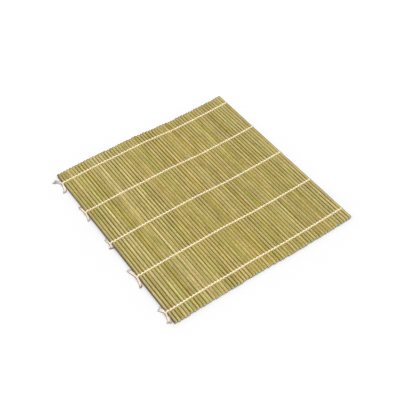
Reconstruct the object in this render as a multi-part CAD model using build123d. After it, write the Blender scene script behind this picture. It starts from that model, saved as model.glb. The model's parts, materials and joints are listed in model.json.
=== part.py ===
from build123d import *
import os
from math import acos, cos, pi, sin

# Sushi rolling mat: round bamboo splints side by side, twined together by five cotton strings.
# X runs across the splints, from the knotted edge to the folded edge. Y runs along the splints,
# towards their back ends, and Z is up. The mat lies flat. Its origin is the middle of its box,
# on the surface that it lies on. All sizes are in millimetres.

# Splints
splint_count = 60
splints_per_link = 2
splint_diameter = 3.2
splint_facets = 16
splint_length = 240.0
splint_gap = 0.6

# The splints slid a little along each other, more at their back ends than at their front ends.
# Each pair of shares is a place across the mat and how far the splints there have slid.
back_slide = 1.5
front_slide = 0.6
slide_shares = [
    (0.0, 0.0),
    (0.08, 0.3),
    (0.2, 0.9),
    (0.33, 0.6),
    (0.47, 0.8),
    (0.56, -0.1),
    (0.66, -1.0),
    (0.78, -0.8),
    (0.9, -0.4),
    (1.0, 0.3),
]

# Strings: each is one cord, folded over the last splint, whose two strands take turns to pass over
# and under the splints, cross in every gap and are knotted at the first splint.
string_count = 5
first_string_from_back = 15.1
last_string_from_front = 14.7
strand_width = 1.2
strand_thickness = 0.6
strand_to_splint = 0.04
strand_to_strand = 0.04
# Free part of the gap beside a strand, which lets the mat bend
bend_room = 0.26
# Half of the parting between the strands of two links, at the line that they bend about
link_parting = 0.12

# Knots, in the strands outside the first splint, and their two frayed tails. A knot's shares are
# places along it, and a tail starts at a share of it too.
knot_length = 2.8
knot_diameter = 2.4
knot_end_diameter = 1.5
knot_diameters = [knot_end_diameter, knot_diameter, knot_diameter, knot_end_diameter]
knot_place_shares = [-0.5, -0.25, 0.25, 0.5]
knot_bite = 0.35
knot_sides = 8
tail_root_share = 0.25
tail_sides = 6
tail_steps = 4
tail_length = 14.0
tail_start_width = 1.1
tail_start_thickness = 0.9
tail_end_width = 2.8
tail_end_thickness = 0.8
tail_lift = 0.1
# For each knot, the tail towards the back and the tail towards the front. Each pair of shares is
# how far the tail runs along the first splint and how far it leans away from it.
tail_shares = [
    ((0.62, 0.45), (0.88, 0.3)),
    ((0.8, 0.06), (0.78, 0.14)),
    ((0.69, 0.06), (0.3, 0.1)),
    ((1.0, 0.12), (0.84, 0.16)),
    ((0.6, 0.16), (0.72, 0.22)),
]

# A face counts as flat when its corners are this near to one plane.
flat_within = 0.000001

# Sizes that follow from those above
splint_radius = splint_diameter / 2
pitch = splint_diameter + splint_gap
mat_width = (splint_count - 1) * pitch
strings_reach = splint_length - first_string_from_back - last_string_from_front
string_spacing = strings_reach / (string_count - 1)
squeezed_thickness = splint_gap - 2 * strand_to_splint - bend_room
wrap_radius = splint_radius + strand_to_splint
outer_height = wrap_radius + strand_thickness
strand_shift = (strand_width + strand_to_strand) / 2

# The strands dive through each gap on one straight slope, which just clears both splints.
slope_angle = acos((wrap_radius + squeezed_thickness / 2) / (pitch / 2))


def splint_x(number):
    return number * pitch


def gap_x(gap):
    """Middle of a gap. Gap 0 is outside the first splint and gap 1 is after it."""
    return (gap - 0.5) * pitch


def slide_share(place):
    """Share by which the splints have slid at a place across the mat."""
    for (start, low), (end, high) in zip(slide_shares, slide_shares[1:]):
        if place <= end:
            return low + (high - low) * max(place - start, 0) / (end - start)
    return slide_shares[-1][1]


def slide(x, share_from_back):
    """How far the mat has slid along Y at x, some way from its back ends to its front ends."""
    most = back_slide + (front_slide - back_slide) * share_from_back
    return most * slide_share(x / mat_width)


def splint(number):
    """A bamboo stick, shaved round in narrow flats and sawn off square at both ends."""
    x = splint_x(number)
    back = splint_length / 2 + slide(x, 0)
    front = -splint_length / 2 + slide(x, 1)
    foot = Plane(origin=(x, front, 0), x_dir=(1, 0, 0), z_dir=(0, 1, 0))
    outline = RegularPolygon(splint_radius, splint_facets, rotation=180 / splint_facets)
    return extrude(foot * outline, back - front).solid()


def side_faces(corners):
    """One flat face through four corners, or two triangles where the corners aren't in a plane."""
    first, second, third, fourth = corners
    normal = (second - first).cross(fourth - first).normalized()
    rings = [corners]
    if abs(normal.dot(third - first)) > flat_within:
        rings = [(first, second, third), (third, fourth, first)]
    return [Face(Wire.make_polygon(ring, close=True)) for ring in rings]


def solid_through(outlines):
    """Solid with flat faces, whose closed outlines all have as many corners."""
    faces = [Face(Wire.make_polygon(outline, close=True)) for outline in (outlines[0], outlines[-1])]
    for near, far in zip(outlines, outlines[1:]):
        for corner in range(len(near)):
            faces += side_faces((near[corner - 1], near[corner], far[corner], far[corner - 1]))
    return Solid(Shell(faces))


def string_y(string, gap):
    """Middle line of a string where it passes through a gap."""
    from_back = first_string_from_back + string * string_spacing
    return splint_length / 2 - from_back + slide(gap_x(gap), from_back / splint_length)


def slope_x(distance, height):
    """Distance from a splint's middle at which a slope this far from its axis has this height."""
    return (distance - height * sin(slope_angle)) / cos(slope_angle)


def cut(number, way, side, inner_z, outer_z, y):
    """Cross-section of a strand beside a splint.

    way is -1 before the splint and 1 after it, side is 1 over the splint and -1 under it. A cut
    holds the strand's left and right edges, seen along its run, and the place of its middle.
    """
    middle = splint_x(number)
    inner_x = middle + way * slope_x(wrap_radius, inner_z)
    outer_x = middle + way * slope_x(wrap_radius + squeezed_thickness, outer_z)
    inner = (inner_x, side * inner_z)
    outer = (outer_x, side * outer_z)
    return (outer, inner, y) if side > 0 else (inner, outer, y)


def stitch_ends(string, number, side):
    """Places along Y at which a stitch starts and ends: all the stitches on top lean one way."""
    start = string_y(string, number) - side * strand_shift
    end = string_y(string, number + 1) + side * strand_shift
    return start, end


def strand_cuts(string, splints, first_side):
    """Cross-sections of one strand along a link, between the partings at both of its ends."""
    cuts = []
    for step, number in enumerate(splints):
        side = first_side * (-1) ** step
        start, end = stitch_ends(string, number, side)
        if number == splints[0]:
            cuts.append(cut(number, -1, side, link_parting, link_parting, start))
        cuts.append(cut(number, -1, side, wrap_radius, outer_height, start))
        cuts.append(cut(number, 1, side, wrap_radius, outer_height, end))
        if number == splints[-1]:
            cuts.append(cut(number, 1, side, link_parting, link_parting, end))
    return cuts


def turned_back(cuts):
    """The same strand, followed from its far end."""
    return [(right, left, y) for left, right, y in reversed(cuts)]


def strand(cuts):
    """Solid through the cross-sections of a strand."""
    outlines = []
    for left, right, y in cuts:
        low = y - strand_width / 2
        high = y + strand_width / 2
        corners = [(left, low), (left, high), (right, high), (right, low)]
        outlines.append([Vector(edge[0], along, edge[1]) for edge, along in corners])
    return solid_through(outlines)


def plain_stitches(string, splints):
    """Both strands of a string along a link in the middle of the mat."""
    return [strand(strand_cuts(string, splints, side)) for side in (1, -1)]


def folded_stitches(string, splints):
    """The string along the last link, folded round the outside of the last splint."""
    last_side = (-1) ** (len(splints) - 1)
    below = strand_cuts(string, splints, -last_side)[:-1]
    above = strand_cuts(string, splints, last_side)[:-1]
    fold = cut(splints[-1], 1, -1, 0, 0, string_y(string, splints[-1] + 1))
    return [strand(below + [fold] + turned_back(above))]


def ring(middle, across, width, height, sides):
    """Corners of an oval with a flat top and bottom, in a plane that stands upright."""
    corners = []
    first_angle = pi / 2 + pi / sides
    for corner in range(sides):
        angle = first_angle + 2 * pi * corner / sides
        up = Vector(0, 0, sin(angle) * height / 2)
        corners.append(middle + across * (cos(angle) * width / 2) + up)
    return corners


def knot(x, y):
    """The two strands tied into a small barrel that lies along the first splint."""
    rings = []
    for place_share, diameter in zip(knot_place_shares, knot_diameters):
        middle = Vector(x, y + place_share * knot_length, 0)
        rings.append(ring(middle, Vector(1, 0, 0), diameter, diameter, knot_sides))
    return solid_through(rings)


def tail(x, y, way, along_share, lean_share):
    """A loose end of a strand, which bends down to the table and frays wider towards its tip."""
    along = along_share * tail_length
    lean = lean_share * tail_length
    drop = outer_height - tail_lift - tail_end_thickness / 2
    start_y = y + way * tail_root_share * knot_length
    rings = []
    for step in range(tail_steps + 1):
        run = step / tail_steps
        middle = Vector(x - lean * run**2, start_y + way * along * run, -drop * (1 - (1 - run) ** 2))
        heading = Vector(-2 * lean * run, way * along, 0).normalized()
        width = tail_start_width + (tail_end_width - tail_start_width) * run**2
        thickness = tail_start_thickness + (tail_end_thickness - tail_start_thickness) * run
        across = Vector(heading.Y, -heading.X, 0)
        rings.append(ring(middle, across, width, thickness, tail_sides))
    return solid_through(rings)


def knotted_stitches(string, splints):
    """The string along the first link, with its knot and tails outside the first splint."""
    above = strand_cuts(string, splints, 1)[1:]
    below = strand_cuts(string, splints, -1)[1:]
    y = string_y(string, splints[0])
    tie = cut(splints[0], -1, 1, 0, 0, y)
    loop = strand(turned_back(below) + [tie] + above)
    x = tie[0][0] - knot_diameter / 2 + knot_bite
    to_back, to_front = tail_shares[string % len(tail_shares)]
    return loop.fuse(knot(x, y), tail(x, y, 1, *to_back), tail(x, y, -1, *to_front)).solids()


def stitches(splints):
    """All that the strings have in one link."""
    solids = []
    for string in range(string_count):
        if splints[0] == 0:
            solids.extend(knotted_stitches(string, splints))
        elif splints[-1] == splint_count - 1:
            solids.extend(folded_stitches(string, splints))
        else:
            solids.extend(plain_stitches(string, splints))
    return solids


def link_splints():
    """The splints of each link, from the knotted edge to the folded edge."""
    firsts = range(0, splint_count, splints_per_link)
    return [list(range(first, min(first + splints_per_link, splint_count))) for first in firsts]


def all_nodes():
    """Each node's name and its separate solids, with the mat's first splint along the Y axis."""
    nodes = {}
    for splints in link_splints():
        numbers = f"{splints[0] + 1:02d}_{splints[-1] + 1:02d}"
        nodes[f"splints_{numbers}"] = [splint(number) for number in splints]
        nodes[f"stitches_{numbers}"] = stitches(splints)
    return nodes


nodes = all_nodes()
box = Compound([solid for solids in nodes.values() for solid in solids]).bounding_box()
to_origin = Location((-box.center().X, -box.center().Y, -box.min.Z))

os.makedirs("parts", exist_ok=True)
for name, solids in nodes.items():
    export_step(Compound([solid.moved(to_origin) for solid in solids]), f"parts/{name}.step")
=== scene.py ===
"""Looks of a sushi rolling mat: bamboo splints twined together by five cotton strings.

X runs across the splints from the knotted edge, Y along them and Z up. Shapes are worked out in
millimetres and made in metres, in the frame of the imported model. Angles are in radians unless a
comment says otherwise, and colours are red, green and blue as seen, from 0 to 255.
"""

import json
import math

import bpy
import numpy as np
from mathutils import Matrix, Vector

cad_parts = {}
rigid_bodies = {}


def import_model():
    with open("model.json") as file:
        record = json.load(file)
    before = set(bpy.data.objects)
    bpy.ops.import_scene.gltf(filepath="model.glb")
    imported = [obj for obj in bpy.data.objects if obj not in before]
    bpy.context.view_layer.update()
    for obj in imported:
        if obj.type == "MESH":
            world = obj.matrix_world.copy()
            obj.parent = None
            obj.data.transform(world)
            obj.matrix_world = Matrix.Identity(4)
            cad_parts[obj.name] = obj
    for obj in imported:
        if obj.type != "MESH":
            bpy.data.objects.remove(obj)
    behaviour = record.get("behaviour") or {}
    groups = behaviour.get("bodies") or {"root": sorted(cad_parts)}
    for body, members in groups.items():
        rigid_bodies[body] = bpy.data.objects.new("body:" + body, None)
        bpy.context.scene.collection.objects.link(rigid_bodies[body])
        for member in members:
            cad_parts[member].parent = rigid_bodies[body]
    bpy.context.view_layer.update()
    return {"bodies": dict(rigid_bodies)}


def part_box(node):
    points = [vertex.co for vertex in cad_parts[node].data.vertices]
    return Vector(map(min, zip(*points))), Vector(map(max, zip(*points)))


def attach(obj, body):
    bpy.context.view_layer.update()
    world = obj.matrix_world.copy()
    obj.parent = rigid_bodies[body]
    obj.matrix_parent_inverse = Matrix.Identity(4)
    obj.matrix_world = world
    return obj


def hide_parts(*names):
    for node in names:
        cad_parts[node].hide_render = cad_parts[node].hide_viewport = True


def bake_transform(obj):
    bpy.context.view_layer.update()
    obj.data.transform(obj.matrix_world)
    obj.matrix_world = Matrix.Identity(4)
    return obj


MM = 0.001
TURN = 2 * math.pi

# From a seen colour to linear light: a straight part up to the toe, and a power above it
SEEN_MOST = 255
SEEN_TOE = 0.04045
SEEN_TOE_SLOPE = 12.92
SEEN_OFFSET = 0.055
SEEN_POWER = 2.4

# A wave is the sum of sines with these paces, and this is about the most that they add up to
WAVE_PACES = (1.0, 2.3, 4.9)
WAVE_MOST = 1.64

# The mat, as it was packed. Its splints lie slid along by different amounts, up to those at its
# back and front edges. The table has places across it and shares of the most that they slide
PITCH = 3.8
SPLINT_LENGTH = 240.0
BACK_SLIDE = 1.5
FRONT_SLIDE = 0.6
SLIDE_SHARES = [
    (0.0, 0.0),
    (0.08, 0.3),
    (0.2, 0.9),
    (0.33, 0.6),
    (0.47, 0.8),
    (0.56, -0.1),
    (0.66, -1.0),
    (0.78, -0.8),
    (0.9, -0.4),
    (1.0, 0.3),
]
STRINGS = 5
FIRST_STRING = 15.1
STRING_SPACING = 52.55

# Splints
SPLINT_SEED = 1000
SPLINT_SIDES = 16
SPLINT_STEPS = 72
HALF_WIDTH = 1.7
HALF_WIDTH_SPREAD = 0.04
HALF_WIDTH_LEAST = 1.6
HALF_WIDTH_MOST = 1.76
HALF_HEIGHT = 1.58
HALF_HEIGHT_SPREAD = 0.04
WIDTH_CHANGE = 0.015
SIDE_SHIFT = 0.05
BOW_ASIDE = 0.1
BOW_UP = 0.05
END_BEVEL = 0.3
END_SHARE = 0.8
END_SHORT = 0.9
NODE_SWELLING = 0.05
NODE_LENGTH = 5.0
NODE_REACH = 168.0
GRAIN_SPREAD = 400

# How squarish a splint is, where 2 is round, and how far it leans over
FLATNESS = (2.1, 2.8)
LEAN = 0.3

# A splint's corners go round from +X downwards, so its top is at this angle
TOP_ANGLE = 0.75 * TURN

# Waves along each splint and their lengths. Their order gives their seeds
SPLINT_WAVES = {
    "fine_streaks": 36,
    "width": 160,
    "bow_aside": 420,
    "bow_up": 380,
    "hue": 260,
    "streaks": 130,
    "ridge": 150,
}

# Tones of the splints, each with the share of the splints that have it
KHAKI = (202, 189, 125)
GREENISH = (198, 189, 124)
BROWNISH = (204, 187, 129)
YELLOWISH = (197, 182, 107)
PALE = (216, 204, 146)
SPLINT_TONES = [(KHAKI, 0.5), (GREENISH, 0.2), (BROWNISH, 0.14), (YELLOWISH, 0.1), (PALE, 0.06)]
BAMBOO_LEVEL = 0.975
TONE_SPREAD = 0.04

# Three splints near the knotted edge, by their numbers from 0
PALE_SPLINT = 5
PALE_SPLINT_TONE = (212, 199, 134)
GOLDEN_SPLINTS = (7, 8)
GOLDEN_TONE = (198, 184, 106)

# How much red, green and blue are left where the tone changes along a splint, and how much its
# streaks change it
GREENER = np.array([0.97, 1.0, 0.95])
PINKER = np.array([1.008, 0.988, 1.04])
NODE_TONE = np.array([0.92, 0.8, 0.9])
STREAKS = 0.09
FINE_STREAKS = 0.07

# How much red, green and blue are lost down a splint's sides, the painted light and shade on its
# flanks, and how much darker its top is made where its flanks have painted light. Starts are sines
# of the angle up from the side
SIDE_START = 0.8
# Painted shade: less blue down the sides, for the yellow shade deep in the gaps
SIDE_PAINTED_SHADE = np.array([-0.01, 0.02, 0.9])
FLANK_START = 0.96
FLANK_FADE = 0.5
FLANK_PAINTED_LIGHT = 0.46
FLANK_PAINTED_SHADE = 0.18
TOP_DARKENING = 0.16

# A painted highlight along a narrow ridge on top of some splints, full on the pale splint
RIDGE_HIGHLIGHT = 0.7
RIDGE_WIDTH = 0.42
RIDGE_LEAN = 0.7

# The first splint's outside, darkened by painted shade
OUTSIDE_GAIN = 1.5
OUTSIDE_START = 0.3
OUTSIDE_PAINTED_SHADE = np.array([0.62, 0.74, 0.5])

# Where the flanks have painted light rather than painted shade: for each wave over the mat, its
# seed, its lengths along and across the splints, and its height
PAINTED_LIGHT_WAVES = [(61, 420, 70, 1.0), (62, 330, -45, 1.0), (63, 900, 50, 0.7)]
PAINTED_LIGHT_LEVEL = 0.5
PAINTED_LIGHT_CONTRAST = 0.55

# The mat's edges and its middle, and the wave over it that moves the place where they meet
EDGE_TONE = np.array([0.985, 1.0, 1.12])
MIDDLE_TONE = np.array([1.015, 0.99, 0.95])
MIDDLE_SEED = 64
MIDDLE_WAVE_ALONG = 300
MIDDLE_WAVE_ACROSS = 152
MIDDLE_UNEVEN = 0.3

# Yarn. A strand dives into the gaps, and spreads out where it lies on a splint, as fast as the
# gains say: along a stitch, or along a fold or tie
YARN_SEED = 50
DIVE_RADIUS = 1.8
TOP_RADIUS = 1.91
DIVE_ANGLE = math.acos(DIVE_RADIUS / (PITCH / 2))
YARN_SIDES = 18
YARN_HALF_WIDTH = 0.92
YARN_HALF_THICKNESS = 0.36
GAP_HALF_WIDTH = 0.78
GAP_HALF_THICKNESS = 0.3
STITCH_GAIN = 1.6
WRAP_GAIN = 2.0
SPREAD_POWER = 0.6
YARN_SHIFT = 0.36
YARN_UNEVEN = 0.05
YARN_UNEVEN_LENGTH = 23
PLIES = 3
LAY_LENGTH = 3.1
PLY_GROOVE = 0.2
GROOVE_POWER = 1.5
GRAIN_ROUND = 4
GRAIN_LAYERS = 89
DIVE_STEPS = 3
ARC_STEPS = 14
TIE_STEPS = 15
FOLD_STEPS = 32
CREAM = (255, 245, 218)
PINKISH = (254, 231, 208)
PINK_LENGTH = 17
PINK_SEED_STEP = 5

# The direction that the rings of knots and tails are turned by
ASKEW = np.array([0.3, 0.2, 0.93])

# Knots: turns of yarn about the splints' direction
KNOT_SEED = 300
KNOT_TONE = (254, 241, 226)
KNOT_X = -3.0
KNOT_RISE = 0.5
KNOT_LENGTH = 2.8
KNOT_YARN = 0.5
KNOT_HALF = KNOT_LENGTH / 2 - KNOT_YARN
KNOT_TURNS = 3.0
KNOT_WIND_RADIUS = 0.7
KNOT_END_SHARE = 0.82
KNOT_BELLY_SHARE = 0.24
KNOT_UNEVEN = 0.22
KNOT_UNEVEN_START = 1.0
KNOT_STEPS = 60
KNOT_SIDES = 12

# The yarn that crosses over a knot. Its start and sweep are shares of half a turn, and its reach
# is a share of the knot's half
CROSSING_YARN = 0.36
CROSSING_START = 0.15
CROSSING_SWEEP = 0.9
CROSSING_RADIUS = 0.78
CROSSING_BELLY = 0.1
CROSSING_REACH = 1.3
CROSSING_STEPS = 24
CROSSING_LAYER = 9

# Tails. For each string's two, how far they reach along and away from the first splint, as
# shares of a tail's length
TAIL_SEED = 700
TAIL_LENGTH = 14.0
TAIL_SHARES = [
    ((0.62, 0.45), (0.88, 0.3)),
    ((0.8, 0.06), (0.78, 0.14)),
    ((0.69, 0.06), (0.3, 0.1)),
    ((1.0, 0.12), (0.84, 0.16)),
    ((0.6, 0.16), (0.72, 0.22)),
]
TAIL_START_SHARE = 0.3
TAIL_HEIGHT = 0.5
TABLE_CLEARANCE = 0.05

# The tufts that each tail's plies part into, how far apart these are and how wide each is, and
# the tones of the tail and of its tip
PALE_TAIL = (253, 243, 232)
PINK_TAIL = (252, 235, 222)
TAIL_LOOKS = [
    ((2, 3.4, 0.16, PALE_TAIL, (170, 180, 168)), (3, 1.4, 0.45, PALE_TAIL, (206, 202, 186))),
    ((3, 1.0, 0.3, PINK_TAIL, (206, 168, 156)), (2, 2.2, 0.3, PINK_TAIL, (206, 214, 192))),
    ((2, 3.0, 0.16, PALE_TAIL, (190, 176, 168)), (3, 1.5, 0.4, PALE_TAIL, (196, 184, 164))),
    ((3, 1.9, 0.6, PALE_TAIL, (226, 220, 212)), (2, 2.0, 0.35, PINK_TAIL, (206, 168, 156))),
    ((3, 1.6, 0.5, PALE_TAIL, (226, 218, 210)), (3, 1.4, 0.5, PINK_TAIL, (230, 216, 206))),
]

# Plies of a tail. Pairs are the least and most of what is drawn at random, here and below
PLY_OFFSET = 0.48
PLY_TURNS = 1.2
PLY_REACHES = (0.8, 1.0)
PLY_LIFTS = (0.2, 1.0)
PARTINGS = (0.85, 1.15)
PARTING_POWER = 1.5

# Fibres of a ply, round its core, which is made first and has this number
CORE = -1
CORE_RADIUS = 0.62
CORE_END = 0.8
CORE_TAPER = 0.75
PLY_FIBRES = 24
FIBRE_SEED = 900
FIBRE_SEEDS_PER_STRING = 40
FIBRE_SIDES = 6
FIBRE_STEPS = 16
FIBRE_STARTS = (0.1, 0.5)
FIBRE_ENDS = (0.86, 1.04)
FIBRE_RADIUS = 0.22
FIBRE_ROOT = 1.05
FIBRE_TAPER = 0.6
FIBRE_WAVE = 0.2
FIBRE_WAVE_PACE = 1.1
BRUSH = 0.38
BRUSH_START = 0.55
BRUSH_GROWTH = 0.75
BRUSH_POWER = 1.4
TIP_START = 0.62
TIP_FADE = 0.36
TIP_POWER = 1.3
FIBRE_LEVELS = (0.93, 1.03)

# A colour Mix node's share and its two colours among the inputs, and its colour among the outputs
MIX_INPUTS = (0, 6, 7)
MIX_RESULT = 2

# Bamboo. A noise has its features per millimetre of the grain, its detail and its roughness. A
# tint has its colour, the noise's value where it begins and where it is full, and how much of it
# there is then
SLOW_NOISE = ((0.25, 0.012, 0.25), 2.0, 0.5)
SLOW_TINT = ((226, 232, 190), 0.45, 0.7, 1.0)
PATCH_NOISE = ((0.6, 0.03, 0.6), 2.0, 0.5)
PATCH_TINT = ((232, 214, 156), 0.5, 0.75, 0.4)
FIBRE_NOISE = ((7.0, 0.06, 7.0), 3.0, 0.6)
FIBRE_TINT = ((204, 186, 130), 0.42, 0.66, 0.7)
FLECK_NOISE = ((2.4, 0.35, 2.4), 2.0, 0.7)
FLECK_TINT = ((170, 148, 92), 0.5, 0.7, 0.8)
BAMBOO_ROUGHNESS = (0.3, 0.7, 0.42, 0.62)
BAMBOO_SURFACE = {"Specular IOR Level": 0.28}
BAMBOO_BUMP = 0.03
BUMP_STRENGTH = 0.6

# Sawn ends, with the fibre bundles per metre
PITH = (226, 212, 164)
PITH_SHARE = 0.6
BUNDLE_SCALE = (2600, 2600, 2600)
BUNDLE_TONE = (112, 92, 58)
BUNDLE_EDGE = (0.16, 0.34, 0.7, 0.0)
END_SURFACE = {"Roughness": 0.85}
END_BUMP = 0.05

# Cotton
COTTON_NOISE = ((5.0, 0.5, 1.0), 3.0, 0.6)
COTTON_TINT = ((240, 226, 210), 0.5, 0.75, 0.6)
SOIL_NOISE = ((0.7, 0.35, 1.0), 2.0, 0.5)
SOIL_TINT = ((246, 230, 218), 0.5, 0.75, 0.6)
COTTON_SURFACE = {
    "Roughness": 0.92,
    "Specular IOR Level": 0.2,
    "Subsurface Radius": (1.0, 0.9, 0.8),
    "Subsurface Scale": 0.3 * MM,
    "Sheen Weight": 0.3,
    "Sheen Roughness": 0.5,
}
COTTON_BUMP = 0.06
STRING_TRANSLUCENCE = 0.5
TAIL_TRANSLUCENCE = 0.0

# Floor, in metres, with linear tones
FLOOR_SIZE = 6.0
PAPER_NOISE = ((900, 900, 900), 2.0, 0.5)
PAPER_TONES = ((0.9, 0.9, 0.9), (0.94, 0.94, 0.94))
FLOOR_SURFACE = {"Roughness": 0.9}

# Light: linear tones and strengths, and the sun's width in degrees
BACKDROP = ((1, 1, 1, 1), 1.0)
SKY = ((1, 0.99, 0.97, 1), 0.74)
WHITE_RAYS = ("Is Camera Ray", "Is Glossy Ray", "Is Transmission Ray")
SUN_TONE = (1.0, 0.985, 0.95)
SUN_STRENGTH = 1.5
SUN_FROM = (0.25, 0.10, 1.0)
SUN_WIDTH = 28

# Camera, as worked out from the mat's corners: degrees and millimetres, and clips in metres
VIEW_AZIMUTH = -33.999
VIEW_ELEVATION = 48.761
VIEW_ROLL = -1.420
VIEW_DISTANCE = 842.26
VIEW_TARGET = (0.31, -4.92, 2.0)
VIEW_LENS = 69.119
VIEW_SENSOR = 36
VIEW_CLIPS = (0.01, 20)

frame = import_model()
LINKS = len(frame["bodies"])
SPLINTS = 2 * LINKS
MAT = bpy.data.collections.new("mat")
bpy.context.scene.collection.children.link(MAT)


def link_name(link):
    return f"link_{link + 1:02d}"


def node_name(kind, link):
    return f"{kind}_{2 * link + 1:02d}_{2 * link + 2:02d}"


def mat_place():
    """X of the first splint's axis, Y of the splints' middles and Z of their axes, in mm."""
    low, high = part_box(node_name("splints", 0))
    x = (low.x + high.x) / 2 / MM - PITCH / 2
    y = low.y / MM + SPLINT_LENGTH / 2
    z = (low.z + high.z) / 2 / MM
    return x, y, z


MAT_X, MAT_Y, AXIS_Z = mat_place()
MAT_WIDTH = (SPLINTS - 1) * PITCH


def splint_x(number):
    return MAT_X + number * PITCH


def gap_x(gap):
    """Middle of the gap before the splint with this number."""
    return MAT_X + (gap - 0.5) * PITCH


def slide_share(place):
    """Share of the slide at a place across the mat, as a share of its width."""
    for (start, low), (end, high) in zip(SLIDE_SHARES, SLIDE_SHARES[1:]):
        if place <= end:
            return low + (high - low) * max(place - start, 0) / (end - start)
    return SLIDE_SHARES[-1][1]


def slide(x, share_from_back):
    """How far a splint lies slid along, at a place from the back edge, 0, to the front, 1."""
    most = BACK_SLIDE + (FRONT_SLIDE - BACK_SLIDE) * share_from_back
    return most * slide_share((x - MAT_X) / MAT_WIDTH)


def string_y(string, gap):
    """Y of a string's middle in the gap before the splint with this number."""
    from_back = FIRST_STRING + string * STRING_SPACING
    return MAT_Y + SPLINT_LENGTH / 2 - from_back + slide(gap_x(gap), from_back / SPLINT_LENGTH)


def colour(seen):
    """A seen colour in linear light, from 0 to 1, as a shader takes it."""
    share = np.array(seen) / SEEN_MOST
    above = ((share + SEEN_OFFSET) / (1 + SEEN_OFFSET)) ** SEEN_POWER
    return np.where(share <= SEEN_TOE, share / SEEN_TOE_SLOPE, above)


def wave(seed, at):
    """A smooth wavy value from -1 to 1 along a line. Each seed gives its own."""
    total = np.zeros_like(at)
    draw = np.random.default_rng(seed)
    for pace in WAVE_PACES:
        total = total + np.sin(TURN * (at * pace + draw.random())) / pace
    return total / WAVE_MOST


def either_way(draw, most):
    """A random value from -most to most."""
    return most * (2 * draw.random() - 1)


class Shape:
    """Points, faces and looks of one piece while it is put together."""

    def __init__(self):
        self.points, self.faces, self.slots = [], [], []
        self.tones, self.grains = [], []
        self.count = 0

    def tube(self, rings, tones, grains, cap_slot=0):
        """A tube through rings of points, closed by a face at each end."""
        steps, sides = rings.shape[:2]
        first = self.count
        last = first + (steps - 1) * sides
        self.points.append(rings.reshape(-1, 3))
        self.tones.append(np.broadcast_to(tones, rings.shape).reshape(-1, 3))
        self.grains.append(grains.reshape(-1, 3))
        self.count += steps * sides
        for low in range(first, last, sides):
            high = low + sides
            for side in range(sides):
                after = (side + 1) % sides
                self.faces.append((low + side, low + after, high + after, high + side))
        self.faces.append(tuple(first + side for side in reversed(range(sides))))
        self.faces.append(tuple(last + side for side in range(sides)))
        self.slots += [0] * (last - first) + [cap_slot] * 2

    def piece(self, name, materials):
        """The shape as an object of the mat, with its tones and grain as attributes."""
        mesh = bpy.data.meshes.new(name)
        points = np.concatenate(self.points) * MM
        mesh.from_pydata(points.tolist(), [], self.faces)
        for material in materials:
            mesh.materials.append(material)
        mesh.polygons.foreach_set("material_index", self.slots)
        mesh.polygons.foreach_set("use_smooth", [True] * len(self.faces))
        # The tone attribute holds each point's colour, and on the splints painted light and shade too
        tones = np.concatenate(self.tones)
        full = np.concatenate([tones, np.ones((len(tones), 1))], axis=1)
        mesh.attributes.new("tone", "FLOAT_COLOR", "POINT").data.foreach_set("color", full.ravel())
        grains = np.concatenate(self.grains)
        mesh.attributes.new("grain", "FLOAT_VECTOR", "POINT").data.foreach_set("vector", grains.ravel())
        mesh.update()
        piece = bpy.data.objects.new(name, mesh)
        MAT.objects.link(piece)
        return piece


# Tones of the splints, with painted light and shade


def splint_wave(number, kind, along):
    """One of the waves along a splint, at each place along it."""
    seed = number * len(SPLINT_WAVES) + list(SPLINT_WAVES).index(kind)
    return wave(seed, along / SPLINT_WAVES[kind])


def near_node(along, node):
    """How near each place along a splint is to its node, from 0 to 1."""
    return np.exp(-(((along - node) / NODE_LENGTH) ** 2))


def splint_tone(number, draw):
    """Colour of one splint: khaki, greener, browner, yellower or pale."""
    pick = draw.random()
    for tone, share in SPLINT_TONES:
        if pick < share:
            break
        pick -= share
    if number == PALE_SPLINT:
        tone = PALE_SPLINT_TONE
    if number in GOLDEN_SPLINTS:
        tone = GOLDEN_TONE
    return colour(tone) * BAMBOO_LEVEL * (1 + either_way(draw, TONE_SPREAD))


def painted_light_share(x, along):
    """Share of painted light, not shade, on flanks round each place along a line, from 0 to 1."""
    total = 0
    for seed, length, spacing, height in PAINTED_LIGHT_WAVES:
        total = total + height * wave(seed, along / length + x / spacing)
    return np.clip(PAINTED_LIGHT_LEVEL + PAINTED_LIGHT_CONTRAST * total, 0, 1)


def middle_share(number, along):
    """How much each place along a splint belongs to the mat's middle, from 0 to 1."""
    middle = (1 - math.cos(TURN * number / (SPLINTS - 1))) / 2
    at = along / MIDDLE_WAVE_ALONG + number * PITCH / MIDDLE_WAVE_ACROSS
    return np.clip(middle + MIDDLE_UNEVEN * wave(MIDDLE_SEED, at), 0, 1)


def painted_side_shades(angle):
    """Painted shade round a splint: less blue down its sides, for the yellow shade in the gaps."""
    side = np.clip(SIDE_START - np.abs(np.sin(angle)), 0, 1)[:, None]
    return 1 - side * SIDE_PAINTED_SHADE


def painted_flank_shades(number, angle, along):
    """Painted light on the flanks with a darker top where the share is high, else painted shade."""
    flank = np.clip((FLANK_START - np.abs(np.sin(angle))) / FLANK_FADE, 0, 1)[None, :]
    share = painted_light_share(splint_x(number), along)[:, None]
    return 1 + flank * (FLANK_PAINTED_LIGHT * share - FLANK_PAINTED_SHADE * (1 - share)) - TOP_DARKENING * share


def painted_ridge_highlights(number, angle, along, draw):
    """A painted highlight along a narrow ridge on a splint's top, which comes and goes along it."""
    ridge_at = TOP_ANGLE + either_way(draw, RIDGE_LEAN)
    ridge = np.clip(1 - np.abs(angle - ridge_at) / RIDGE_WIDTH, 0, 1)[None, :]
    strength = draw.random() ** 2
    if number == PALE_SPLINT:
        strength = 1
    share = (1 + splint_wave(number, "ridge", along)[:, None]) / 2
    return 1 + RIDGE_HIGHLIGHT * strength * ridge * share


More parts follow.
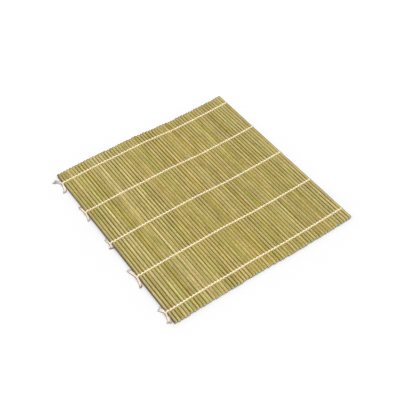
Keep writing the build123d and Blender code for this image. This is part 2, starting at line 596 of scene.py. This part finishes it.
def along_tones(number, along, node):
    """Tones along a splint: slow changes of hue, streaks, the mat's middle and a node."""
    hue = splint_wave(number, "hue", along)[:, None]
    tones = 1 + np.clip(hue, 0, 1) * (GREENER - 1) + np.clip(-hue, 0, 1) * (PINKER - 1)
    tones = tones * (1 + STREAKS * splint_wave(number, "streaks", along))[:, None]
    tones = tones * (1 + FINE_STREAKS * splint_wave(number, "fine_streaks", along))[:, None]
    middle = middle_share(number, along)[:, None]
    tones = tones * (EDGE_TONE + (MIDDLE_TONE - EDGE_TONE) * middle)
    return tones * (1 + near_node(along, node)[:, None] * (NODE_TONE - 1))


def splint_tones(number, tone, angle, along, node, draw):
    """Tones over a splint, as changes of its own tone, with painted light and shade."""
    tones = tone * painted_side_shades(angle)[None, :, :] * along_tones(number, along, node)[:, None, :]
    shades = painted_flank_shades(number, angle, along) * painted_ridge_highlights(number, angle, along, draw)
    tones = tones * shades[:, :, None]
    # Painted shade on the first splint's outside
    if number == 0:
        outside = np.clip(-np.cos(angle) * OUTSIDE_GAIN - OUTSIDE_START, 0, 1)[:, None]
        tones = tones * (1 - outside * OUTSIDE_PAINTED_SHADE)
    return tones


# Shapes of the splints


def splint_outline(draw):
    """Corners round a splint about its axis: between round and squarish, leaning a little."""
    angle = np.linspace(0, TURN, SPLINT_SIDES, endpoint=False)
    wide = HALF_WIDTH + draw.normal(0, HALF_WIDTH_SPREAD)
    wide = np.clip(wide, HALF_WIDTH_LEAST, HALF_WIDTH_MOST)
    high = HALF_HEIGHT + either_way(draw, HALF_HEIGHT_SPREAD)
    power = draw.uniform(*FLATNESS)
    turned = angle + either_way(draw, LEAN)
    reach = (np.abs(np.cos(turned)) ** power + np.abs(np.sin(turned)) ** power) ** (-1 / power)
    across, down = reach * np.cos(angle), reach * np.sin(angle)
    return angle, across / np.abs(across).max() * wide, down / np.abs(down).max() * high


def splint_rings(number, draw):
    """Rings of one splint: a little bowed, swollen at a node and with broken edges at its ends."""
    x = splint_x(number)
    back = MAT_Y + SPLINT_LENGTH / 2 + slide(x, 0) - END_SHORT * draw.random() ** 2
    front = MAT_Y - SPLINT_LENGTH / 2 + slide(x, 1) + END_SHORT * draw.random() ** 2
    node = MAT_Y + either_way(draw, NODE_REACH)
    along = np.linspace(front + END_BEVEL, back - END_BEVEL, SPLINT_STEPS)
    along = np.concatenate([[front], along, [back]])
    scale = 1 + WIDTH_CHANGE * splint_wave(number, "width", along)
    scale = scale + NODE_SWELLING / HALF_WIDTH * near_node(along, node)
    scale[0] = scale[-1] = END_SHARE
    aside = either_way(draw, SIDE_SHIFT) + BOW_ASIDE * splint_wave(number, "bow_aside", along)
    lift = BOW_UP * splint_wave(number, "bow_up", along)
    angle, across, down = splint_outline(draw)
    rings = np.zeros((len(along), SPLINT_SIDES, 3))
    rings[:, :, 0] = x + aside[:, None] + scale[:, None] * across[None, :]
    rings[:, :, 1] = along[:, None]
    rings[:, :, 2] = AXIS_Z + lift[:, None] - scale[:, None] * down[None, :]
    return rings, angle, along, node


def add_splint(shape, number):
    draw = np.random.default_rng(SPLINT_SEED + number)
    rings, angle, along, node = splint_rings(number, draw)
    tone = splint_tone(number, draw)
    grains = np.zeros_like(rings)
    offset = draw.random(3) * GRAIN_SPREAD
    grains[:, :, 0] = HALF_WIDTH * np.cos(angle)[None, :] + offset[0]
    grains[:, :, 1] = along[:, None] + offset[1]
    grains[:, :, 2] = HALF_HEIGHT * np.sin(angle)[None, :] + offset[2]
    shape.tube(rings, splint_tones(number, tone, angle, along, node, draw), grains, cap_slot=1)


def make_splints(link, materials):
    shape = Shape()
    for number in (2 * link, 2 * link + 1):
        add_splint(shape, number)
    piece = shape.piece(node_name("bamboo", link), materials)
    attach(piece, link_name(link))
    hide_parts(node_name("splints", link))


# Yarn


def unit(vectors):
    """Vectors of the same directions, one long."""
    return vectors / np.linalg.norm(vectors, axis=1)[:, None]


def headings(line):
    """Direction of a line at each of its points."""
    return unit(np.gradient(line, axis=0))


def line_lengths(line):
    """Distance along a line at each of its points."""
    return np.concatenate([[0], np.cumsum(np.linalg.norm(np.diff(line, axis=0), axis=1))])


def plied_rings(points, up, wide, high, lengths, sides, groove, seed):
    """Rings and grain of a plied yarn along a line. High is half its height, along up."""
    across = np.cross(headings(points), up)
    angle = np.linspace(0, TURN, sides, endpoint=False)
    twist = angle[None, :] - TURN * lengths[:, None] / LAY_LENGTH
    ply = 1 - groove * (1 - np.abs(np.cos(PLIES / 2 * twist))) ** GROOVE_POWER
    rings = points[:, None, :] + up[:, None, :] * (np.cos(angle) * high[:, None] * ply)[:, :, None]
    rings = rings + across[:, None, :] * (np.sin(angle) * wide[:, None] * ply)[:, :, None]
    grains = np.zeros_like(rings)
    grains[:, :, 0] = twist / TURN * GRAIN_ROUND
    grains[:, :, 1] = lengths[:, None]
    grains[:, :, 2] = seed % GRAIN_LAYERS
    return rings, grains


def yarn_tones(lengths, seed):
    """Cream, with pinker stretches."""
    share = (1 + wave(seed + PINK_SEED_STEP, lengths / PINK_LENGTH)) / 2
    cream = colour(CREAM)
    tones = cream + (colour(PINKISH) - cream) * share[:, None]
    return tones[:, None, :]


def add_strand(shape, string, strand, points, normals, spread, lengths):
    """A length of one strand. Its normals stand off the splint that it lies on."""
    seed = YARN_SEED + string * 2 + (strand > 0)
    heading = headings(points)
    up = unit(normals - heading * np.sum(normals * heading, axis=1)[:, None])
    swell = 1 + YARN_UNEVEN * wave(seed, lengths / YARN_UNEVEN_LENGTH)
    wide = (GAP_HALF_WIDTH + (YARN_HALF_WIDTH - GAP_HALF_WIDTH) * spread) * swell
    high = GAP_HALF_THICKNESS + (YARN_HALF_THICKNESS - GAP_HALF_THICKNESS) * spread
    rings, grains = plied_rings(points, up, wide, high, lengths, YARN_SIDES, PLY_GROOVE, seed)
    shape.tube(rings, yarn_tones(lengths, seed), grains)


def wrap(start_angle, end_angle, steps):
    """Points and outward directions round a splint, between angles counted from +X upwards."""
    angle = np.linspace(start_angle, end_angle, steps + 1)
    outward = np.stack([np.cos(angle), np.sin(angle)], axis=1)
    dive_height = math.sin(DIVE_ANGLE)
    lift = np.clip((np.abs(np.sin(angle)) - dive_height) / (1 - dive_height), 0, 1)
    return outward * (DIVE_RADIUS + (TOP_RADIUS - DIVE_RADIUS) * lift)[:, None], outward


def dive(start, end):
    """Points from one point to another, without the first one."""
    return start + (end - start) * (np.arange(1, DIVE_STEPS + 1) / DIVE_STEPS)[:, None]


def held_rows(steps, before, after):
    """Rows of an arc, with its first and last row held on for the points before and after it."""
    return np.array([0] * before + list(range(steps + 1)) + [steps] * after)


def spread_out(run, gain):
    """How far a strand has spread out, from 0 in a gap to 1 on a splint."""
    return np.clip(np.sin(run * math.pi) * gain, 0, 1) ** SPREAD_POWER


def stitch_line(side):
    """One stitch in the XZ plane about its splint: points, normals, spread and share of run."""
    arc, outward = wrap(math.pi - DIVE_ANGLE, DIVE_ANGLE, ARC_STEPS)
    left, right = np.array([-PITCH / 2, 0.0]), np.array([PITCH / 2, 0.0])
    line = np.concatenate([dive(arc[0], left)[::-1], arc, dive(arc[-1], right)])
    rows = held_rows(ARC_STEPS, DIVE_STEPS, DIVE_STEPS)
    run = rows / ARC_STEPS
    flip = np.array([1, side])
    return line * flip, outward[rows] * flip * side, spread_out(run, STITCH_GAIN), run


STITCH_LENGTH = line_lengths(stitch_line(1)[0])[-1]


def in_mat(number, line, y):
    """Points of the mat from points in the XZ plane about a splint's axis."""
    return np.stack([splint_x(number) + line[:, 0], y, AXIS_Z + line[:, 1]], axis=1)


def upright(normals):
    """Directions in the mat from directions in the XZ plane."""
    return np.stack([normals[:, 0], np.zeros(len(normals)), normals[:, 1]], axis=1)


def stitch(string, strand, number):
    """One stitch of a strand: points, normals, spread and lengths."""
    side = strand * (-1) ** number
    line, normals, spread, run = stitch_line(side)
    start = string_y(string, number) - side * YARN_SHIFT
    end = string_y(string, number + 1) + side * YARN_SHIFT
    points = in_mat(number, line, start + (end - start) * run)
    return points, upright(normals), spread, number * STITCH_LENGTH + line_lengths(line)


def add_stitches(shape, string, strand, numbers):
    """One strand of a string over one of two splints and under the other."""
    first, second = (stitch(string, strand, number) for number in numbers)
    joined = [np.concatenate([one, other[1:]]) for one, other in zip(first, second)]
    add_strand(shape, string, strand, *joined)


def add_fold(shape, string):
    """Both strands of a string, joined round the outside of the last splint."""
    arc, outward = wrap(math.pi - DIVE_ANGLE, DIVE_ANGLE - math.pi, FOLD_STEPS)
    left = np.array([-PITCH / 2, 0.0])
    line = np.concatenate([dive(arc[0], left)[::-1], arc, dive(arc[-1], left)])
    rows = held_rows(FOLD_STEPS, DIVE_STEPS, DIVE_STEPS)
    run = rows / FOLD_STEPS
    points = in_mat(SPLINTS - 1, line, string_y(string, SPLINTS) + YARN_SHIFT * (2 * run - 1))
    lengths = (SPLINTS - 1) * STITCH_LENGTH + line_lengths(line)
    spread = spread_out(run, WRAP_GAIN)
    add_strand(shape, string, -1, points, upright(outward[rows]), spread, lengths)


def add_tie(shape, string, strand):
    """One strand from its knot, round the first splint's outside, to the first gap inside."""
    arc, outward = wrap(math.pi, DIVE_ANGLE, TIE_STEPS)
    flip = np.array([1, strand])
    line = np.concatenate([arc, dive(arc[-1], np.array([PITCH / 2, 0.0]))])
    rows = held_rows(TIE_STEPS, 0, DIVE_STEPS)
    run = rows / TIE_STEPS
    start = string_y(string, 0)
    end = string_y(string, 1) + strand * YARN_SHIFT
    points = in_mat(0, line * flip, start + (end - start) * run)
    travelled = line_lengths(line)
    lengths = STITCH_LENGTH - travelled[-1] + travelled
    normals = upright(outward[rows] * flip * strand)
    add_strand(shape, string, strand, points, normals, spread_out(run, WRAP_GAIN), lengths)


def make_twine(materials):
    """The strings, in pieces that reach from the middle of one link to the middle of the next."""
    for link in range(LINKS - 1):
        shape = Shape()
        numbers = (2 * link + 1, 2 * link + 2)
        for string in range(STRINGS):
            for strand in (1, -1):
                add_stitches(shape, string, strand, numbers)
        piece = shape.piece(f"twine_{numbers[0] + 1:02d}_{numbers[1] + 1:02d}", materials)
        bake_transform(piece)
        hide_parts(node_name("stitches", link), node_name("stitches", link + 1))


def make_ties(materials):
    shape = Shape()
    for string in range(STRINGS):
        for strand in (1, -1):
            add_tie(shape, string, strand)
    piece = shape.piece("twine_01", materials)
    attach(piece, link_name(0))
    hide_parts(node_name("stitches", 0))


def make_fold(materials):
    last = LINKS - 1
    shape = Shape()
    for string in range(STRINGS):
        add_fold(shape, string)
    piece = shape.piece("twine_60", materials)
    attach(piece, link_name(last))
    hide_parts(node_name("stitches", last))


# Knots and tails


def round_rings(points, radii, sides, groove, seed):
    """Rings and grain of a round yarn or fibre along a line."""
    up = unit(np.cross(headings(points), ASKEW))
    return plied_rings(points, up, radii, radii, line_lengths(points), sides, groove, seed)


def add_winding(shape, centre, layer, draw):
    """A knot's turns of yarn, a little uneven and widest in the middle."""
    share = np.linspace(0, 1, KNOT_STEPS)
    angle = TURN * KNOT_TURNS * share + TURN * draw.random()
    radius = KNOT_WIND_RADIUS * (KNOT_END_SHARE + KNOT_BELLY_SHARE * np.sin(math.pi * share))
    along = KNOT_HALF * (2 * share - 1) + KNOT_UNEVEN * np.sin(angle + KNOT_UNEVEN_START)
    line = np.stack([radius * np.cos(angle), along, radius * np.sin(angle)], axis=1)
    radii = np.full(KNOT_STEPS, KNOT_YARN)
    rings, grains = round_rings(centre + line, radii, KNOT_SIDES, PLY_GROOVE, layer)
    shape.tube(rings, colour(KNOT_TONE), grains)


def add_crossing(shape, centre, layer):
    """A short length of yarn that crosses over a knot's turns."""
    share = np.linspace(0, 1, CROSSING_STEPS)
    angle = math.pi * (CROSSING_START + CROSSING_SWEEP * share)
    radius = CROSSING_RADIUS + CROSSING_BELLY * np.sin(math.pi * share)
    along = KNOT_HALF * (CROSSING_REACH - 2 * CROSSING_REACH * share)
    line = np.stack([-radius * np.cos(angle), along, radius * np.sin(angle)], axis=1)
    radii = np.full(CROSSING_STEPS, CROSSING_YARN)
    rings, grains = round_rings(centre + line, radii, KNOT_SIDES, PLY_GROOVE, layer)
    shape.tube(rings, colour(PINKISH), grains)


def add_knot(shape, string):
    centre = np.array([splint_x(0) + KNOT_X, string_y(string, 0), AXIS_Z + KNOT_RISE])
    add_winding(shape, centre, string, np.random.default_rng(KNOT_SEED + string))
    add_crossing(shape, centre, string + CROSSING_LAYER)


def tail_line(string, way, shares, run):
    """Middle of a tail, which bends down to the table, at each share of its run."""
    along, lean = shares[0] * TAIL_LENGTH, shares[1] * TAIL_LENGTH
    start_y = string_y(string, 0) + way * TAIL_START_SHARE * KNOT_LENGTH
    drop = AXIS_Z - TAIL_HEIGHT
    x = splint_x(0) + KNOT_X - lean * run**2
    y = start_y + way * along * run
    z = AXIS_Z - drop * (1 - (1 - run) ** 2)
    return np.stack([x, y, z], axis=1)


def tail_tones(tail_tone, tip_tone, run):
    """Tones along a tail, which turn into the tip's near its end."""
    share = np.clip((run - TIP_START) / TIP_FADE, 0, 1)[:, None] ** TIP_POWER
    return colour(tail_tone) * (1 - share) + colour(tip_tone) * share


class Ply:
    """One ply of a tail, which untwists, parts from the others and opens out into fibres."""

    def __init__(self, place, tufts, parting, draw):
        tuft = min(place, tufts - 1) - (tufts - 1) / 2
        self.place = place
        self.part = tuft * parting * draw.uniform(*PARTINGS)
        self.reach = draw.uniform(*PLY_REACHES)
        self.lift = draw.uniform(*PLY_LIFTS)

    def path(self, run):
        """How far it lies aside and above the tail's middle, at each share of the tail's run."""
        turn = TURN * (self.place / PLIES + PLY_TURNS * run)
        loose = run**PARTING_POWER
        aside = self.part * loose + PLY_OFFSET * np.cos(turn) * (1 - run)
        above = PLY_OFFSET * np.sin(turn) * (1 - run) + self.lift * loose
        return aside, above

    def core(self):
        """Run, path and radii of its core, which thins out."""
        run = np.linspace(0, CORE_END * self.reach, FIBRE_STEPS)
        aside, above = self.path(run)
        return run, aside, above, CORE_RADIUS * (1 - CORE_TAPER * run)

    def fibre(self, tuft_width, seed, draw):
        """Run, path and radii of a fibre, which strays from its core as in a brush."""
        start = draw.uniform(*FIBRE_STARTS)
        end = self.reach * draw.uniform(*FIBRE_ENDS)
        run = np.linspace(start, end, FIBRE_STEPS)
        aside, above = self.path(run)
        brush = BRUSH_START + BRUSH_GROWTH * ((run - start) / (1 - start)) ** BRUSH_POWER
        aside = aside + draw.normal(0, tuft_width) * brush
        above = above + draw.normal(0, BRUSH) * brush
        aside = aside + FIBRE_WAVE * wave(seed, run * FIBRE_WAVE_PACE) * run
        radii = FIBRE_RADIUS * (FIBRE_ROOT - FIBRE_TAPER * (run - start) / (end - start))
        return run, aside, above, radii


def add_tail(shape, string, way, shares, looks):
    """The yarn's loose end: its plies part and open out into brushes of fibres."""
    tufts, parting, tuft_width, tail_tone, tip_tone = looks
    draw = np.random.default_rng(TAIL_SEED + string * 2 + (way > 0))
    heading = Vector((-shares[1], way * shares[0], 0)).normalized()
    across = np.array([heading.y, -heading.x, 0])
    for place in range(PLIES):
        ply = Ply(place, tufts, parting, draw)
        for fibre in range(CORE, PLY_FIBRES):
            if fibre == CORE:
                run, aside, above, radii = ply.core()
            else:
                seed = FIBRE_SEED + fibre + FIBRE_SEEDS_PER_STRING * string + place
                run, aside, above, radii = ply.fibre(tuft_width, seed, draw)
            tones = tail_tones(tail_tone, tip_tone, run) * draw.uniform(*FIBRE_LEVELS)
            line = tail_line(string, way, shares, run) + across * aside[:, None]
            line[:, 2] = np.maximum(line[:, 2] + above, radii + TABLE_CLEARANCE)
            rings, grains = round_rings(line, radii, FIBRE_SIDES, 0, fibre)
            shape.tube(rings, tones[:, None, :], grains)


def make_knots(yarn, loose):
    knots, tails = Shape(), Shape()
    for string in range(STRINGS):
        add_knot(knots, string)
        for way, shares, looks in zip((1, -1), TAIL_SHARES[string], TAIL_LOOKS[string]):
            add_tail(tails, string, way, shares, looks)
    for shape, name, materials in ((knots, "knots", yarn), (tails, "frayed_tails", loose)):
        piece = shape.piece(name, materials)
        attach(piece, link_name(0))
        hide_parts(node_name("stitches", 0))


# Materials


class Tree:
    """Short calls for a node tree."""

    def __init__(self, tree):
        self.tree = tree

    def add(self, kind, **settings):
        node = self.tree.nodes.new(kind)
        for key, value in settings.items():
            setattr(node, key, value)
        return node

    def link(self, output, socket):
        self.tree.links.new(output, socket)


class Material(Tree):
    """A material's node tree round its shader."""

    def __init__(self, name):
        self.material = bpy.data.materials.new(name)
        self.material.use_nodes = True
        super().__init__(self.material.node_tree)
        self.shader = self.tree.nodes["Principled BSDF"]

    def attribute(self, name, output):
        return self.add("ShaderNodeAttribute", attribute_name=name).outputs[output]

    def scaled(self, vector, scale):
        mapping = self.add("ShaderNodeMapping")
        mapping.inputs["Scale"].default_value = scale
        self.link(vector, mapping.inputs["Vector"])
        return mapping.outputs["Vector"]

    def noise(self, vector, scale, detail, rough):
        """Noise with so many features per unit of the vector along each axis."""
        noise = self.add("ShaderNodeTexNoise")
        noise.inputs["Scale"].default_value = 1.0
        noise.inputs["Detail"].default_value = detail
        noise.inputs["Roughness"].default_value = rough
        self.link(self.scaled(vector, scale), noise.inputs["Vector"])
        return noise.outputs["Fac"]

    def spread(self, value, low, high, to_low, to_high):
        """The value from low to high, moved to another range and held inside it."""
        node = self.add("ShaderNodeMapRange")
        node.inputs["From Min"].default_value = low
        node.inputs["From Max"].default_value = high
        node.inputs["To Min"].default_value = to_low
        node.inputs["To Max"].default_value = to_high
        self.link(value, node.inputs["Value"])
        return node.outputs["Result"]

    def mix(self, kind, first, second, share):
        """Two colours mixed. Each is a socket or a plain colour, and share is a socket or number."""
        node = self.add("ShaderNodeMix", data_type="RGBA", blend_type=kind)
        for place, value in zip(MIX_INPUTS, (share, first, second)):
            if isinstance(value, bpy.types.NodeSocket):
                self.link(value, node.inputs[place])
            elif isinstance(value, float):
                node.inputs[place].default_value = value
            else:
                node.inputs[place].default_value = (*value, 1)
        return node.outputs[MIX_RESULT]

    def tinted(self, kind, base, noise, tint):
        """A colour with a tint where the noise is high."""
        seen, low, high, most = tint
        return self.mix(kind, base, colour(seen), self.spread(noise, low, high, 0.0, most))

    def bump(self, height, distance):
        node = self.add("ShaderNodeBump")
        node.inputs["Distance"].default_value = distance
        node.inputs["Strength"].default_value = BUMP_STRENGTH
        self.link(height, node.inputs["Height"])
        self.link(node.outputs["Normal"], self.shader.inputs["Normal"])

    def surface(self, base, values):
        """Sets the shader's colour from a socket, and its plain values."""
        self.link(base, self.shader.inputs["Base Color"])
        for name, value in values.items():
            self.shader.inputs[name].default_value = value
        return self.material


def bamboo_material():
    """Dry split bamboo: long fibres, short dark flecks and slow changes of colour."""
    bamboo = Material("bamboo")
    grain = bamboo.attribute("grain", "Vector")
    tone = bamboo.attribute("tone", "Color")
    slow = bamboo.noise(grain, *SLOW_NOISE)
    patches = bamboo.noise(grain, *PATCH_NOISE)
    fibres = bamboo.noise(grain, *FIBRE_NOISE)
    flecks = bamboo.noise(grain, *FLECK_NOISE)
    tone = bamboo.tinted("MULTIPLY", tone, slow, SLOW_TINT)
    tone = bamboo.tinted("MIX", tone, patches, PATCH_TINT)
    tone = bamboo.tinted("MULTIPLY", tone, fibres, FIBRE_TINT)
    tone = bamboo.tinted("MULTIPLY", tone, flecks, FLECK_TINT)
    rough = bamboo.spread(fibres, *BAMBOO_ROUGHNESS)
    bamboo.link(rough, bamboo.shader.inputs["Roughness"])
    bamboo.bump(fibres, BAMBOO_BUMP * MM)
    return bamboo.surface(tone, BAMBOO_SURFACE)


def end_material():
    """Sawn end of a splint: pale pith with the dark dots of its fibre bundles."""
    ends = Material("bamboo_ends")
    position = ends.add("ShaderNodeTexCoord").outputs["Object"]
    bundles = ends.add("ShaderNodeTexVoronoi")
    bundles.inputs["Scale"].default_value = 1.0
    ends.link(ends.scaled(position, BUNDLE_SCALE), bundles.inputs["Vector"])
    distance = bundles.outputs["Distance"]
    tone = ends.mix("MIX", ends.attribute("tone", "Color"), colour(PITH), PITH_SHARE)
    tone = ends.mix("MIX", tone, colour(BUNDLE_TONE), ends.spread(distance, *BUNDLE_EDGE))
    ends.bump(distance, END_BUMP * MM)
    return ends.surface(tone, END_SURFACE)


def cotton_material(name, translucence):
    """Twisted cotton: fine fibres that follow the plies."""
    cotton = Material(name)
    grain = cotton.attribute("grain", "Vector")
    tone = cotton.attribute("tone", "Color")
    fibres = cotton.noise(grain, *COTTON_NOISE)
    soil = cotton.noise(grain, *SOIL_NOISE)
    tone = cotton.tinted("MULTIPLY", tone, fibres, COTTON_TINT)
    tone = cotton.tinted("MULTIPLY", tone, soil, SOIL_TINT)
    cotton.bump(fibres, COTTON_BUMP * MM)
    return cotton.surface(tone, COTTON_SURFACE | {"Subsurface Weight": translucence})


# Room, light and camera


def floor_height():
    """Nodes that put the floor under the lowest point of the mat, also where it hangs down."""
    group = bpy.data.node_groups.new("floor_height", "GeometryNodeTree")
    for way in ("INPUT", "OUTPUT"):
        group.interface.new_socket("Geometry", in_out=way, socket_type="NodeSocketGeometry")
    tree = Tree(group)
    start, end = tree.add("NodeGroupInput"), tree.add("NodeGroupOutput")
    mat = tree.add("GeometryNodeCollectionInfo", transform_space="RELATIVE")
    mat.inputs["Collection"].default_value = MAT
    real = tree.add("GeometryNodeRealizeInstances")
    box = tree.add("GeometryNodeBoundBox")
    low = tree.add("ShaderNodeSeparateXYZ")
    least = tree.add("ShaderNodeMath", operation="MINIMUM")
    least.inputs[1].default_value = 0
    shift = tree.add("ShaderNodeCombineXYZ")
    move = tree.add("GeometryNodeTransform")
    tree.link(mat.outputs["Instances"], real.inputs["Geometry"])
    tree.link(real.outputs["Geometry"], box.inputs["Geometry"])
    tree.link(box.outputs["Min"], low.inputs["Vector"])
    tree.link(low.outputs["Z"], least.inputs[0])
    tree.link(least.outputs["Value"], shift.inputs["Z"])
    tree.link(shift.outputs["Vector"], move.inputs["Translation"])
    tree.link(start.outputs["Geometry"], move.inputs["Geometry"])
    tree.link(move.outputs["Geometry"], end.inputs["Geometry"])
    return group


def floor_material():
    """Pale paper."""
    paper = Material("floor")
    position = paper.add("ShaderNodeTexCoord").outputs["Object"]
    tone = paper.mix("MIX", *PAPER_TONES, paper.noise(position, *PAPER_NOISE))
    return paper.surface(tone, FLOOR_SURFACE)


def make_floor():
    mesh = bpy.data.meshes.new("floor")
    half = FLOOR_SIZE / 2
    corners = [(-half, -half, 0), (half, -half, 0), (half, half, 0), (-half, half, 0)]
    mesh.from_pydata(corners, [], [(0, 1, 2, 3)])
    mesh.materials.append(floor_material())
    floor = bpy.data.objects.new("floor", mesh)
    bpy.context.scene.collection.objects.link(floor)
    floor.is_shadow_catcher = True
    modifier = floor.modifiers.new("under_the_mat", "NODES")
    modifier.node_group = floor_height()


def background(tree, tone, strength):
    node = tree.add("ShaderNodeBackground")
    node.inputs["Color"].default_value = tone
    node.inputs["Strength"].default_value = strength
    return node.outputs["Background"]


def make_world():
    """White to the camera, in gloss and through glass, and an even grey light on the object."""
    world = bpy.data.worlds.new("studio")
    bpy.context.scene.world = world
    world.use_nodes = True
    world.node_tree.nodes.clear()
    tree = Tree(world.node_tree)
    output = tree.add("ShaderNodeOutputWorld")
    path = tree.add("ShaderNodeLightPath")
    white, *others = (path.outputs[name] for name in WHITE_RAYS)
    for ray in others:
        either = tree.add("ShaderNodeMath", operation="MAXIMUM")
        tree.link(white, either.inputs[0])
        tree.link(ray, either.inputs[1])
        white = either.outputs["Value"]
    mix = tree.add("ShaderNodeMixShader")
    tree.link(white, mix.inputs[0])
    tree.link(background(tree, *SKY), mix.inputs[1])
    tree.link(background(tree, *BACKDROP), mix.inputs[2])
    tree.link(mix.outputs["Shader"], output.inputs["Surface"])


def make_sun():
    light = bpy.data.lights.new("key", "SUN")
    light.energy = SUN_STRENGTH
    light.color = SUN_TONE
    light.angle = math.radians(SUN_WIDTH)
    sun = bpy.data.objects.new("key", light)
    bpy.context.scene.collection.objects.link(sun)
    sun.rotation_mode = "QUATERNION"
    sun.rotation_quaternion = Vector(SUN_FROM).to_track_quat("Z", "Y")


def make_camera():
    azimuth, elevation = math.radians(VIEW_AZIMUTH), math.radians(VIEW_ELEVATION)
    roll = math.radians(VIEW_ROLL)
    flat = math.cos(elevation)
    back = Vector((math.sin(azimuth) * flat, -math.cos(azimuth) * flat, math.sin(elevation)))
    right = Vector((0, 0, 1)).cross(back).normalized()
    up = back.cross(right)
    turned_right = right * math.cos(roll) + up * math.sin(roll)
    turned_up = up * math.cos(roll) - right * math.sin(roll)
    target = Vector(VIEW_TARGET) + Vector((0, MAT_Y, 0))
    place = (target + back * VIEW_DISTANCE) * MM
    camera = bpy.data.cameras.new("camera")
    camera.lens = VIEW_LENS
    camera.sensor_width = VIEW_SENSOR
    camera.clip_start, camera.clip_end = VIEW_CLIPS
    holder = bpy.data.objects.new("camera", camera)
    bpy.context.scene.collection.objects.link(holder)
    turn = Matrix((turned_right, turned_up, back)).transposed()
    holder.matrix_world = Matrix.Translation(place) @ turn.to_4x4()
    bpy.context.scene.camera = holder


def main():
    make_camera()
    bamboo = [bamboo_material(), end_material()]
    cotton = [cotton_material("cotton", STRING_TRANSLUCENCE)]
    loose_cotton = [cotton_material("loose_cotton", TAIL_TRANSLUCENCE)]
    for link in range(LINKS):
        make_splints(link, bamboo)
    make_twine(cotton)
    make_ties(cotton)
    make_fold(cotton)
    make_knots(cotton, loose_cotton)
    make_floor()
    make_world()
    make_sun()
    bpy.context.scene.view_settings.view_transform = "Standard"


main()
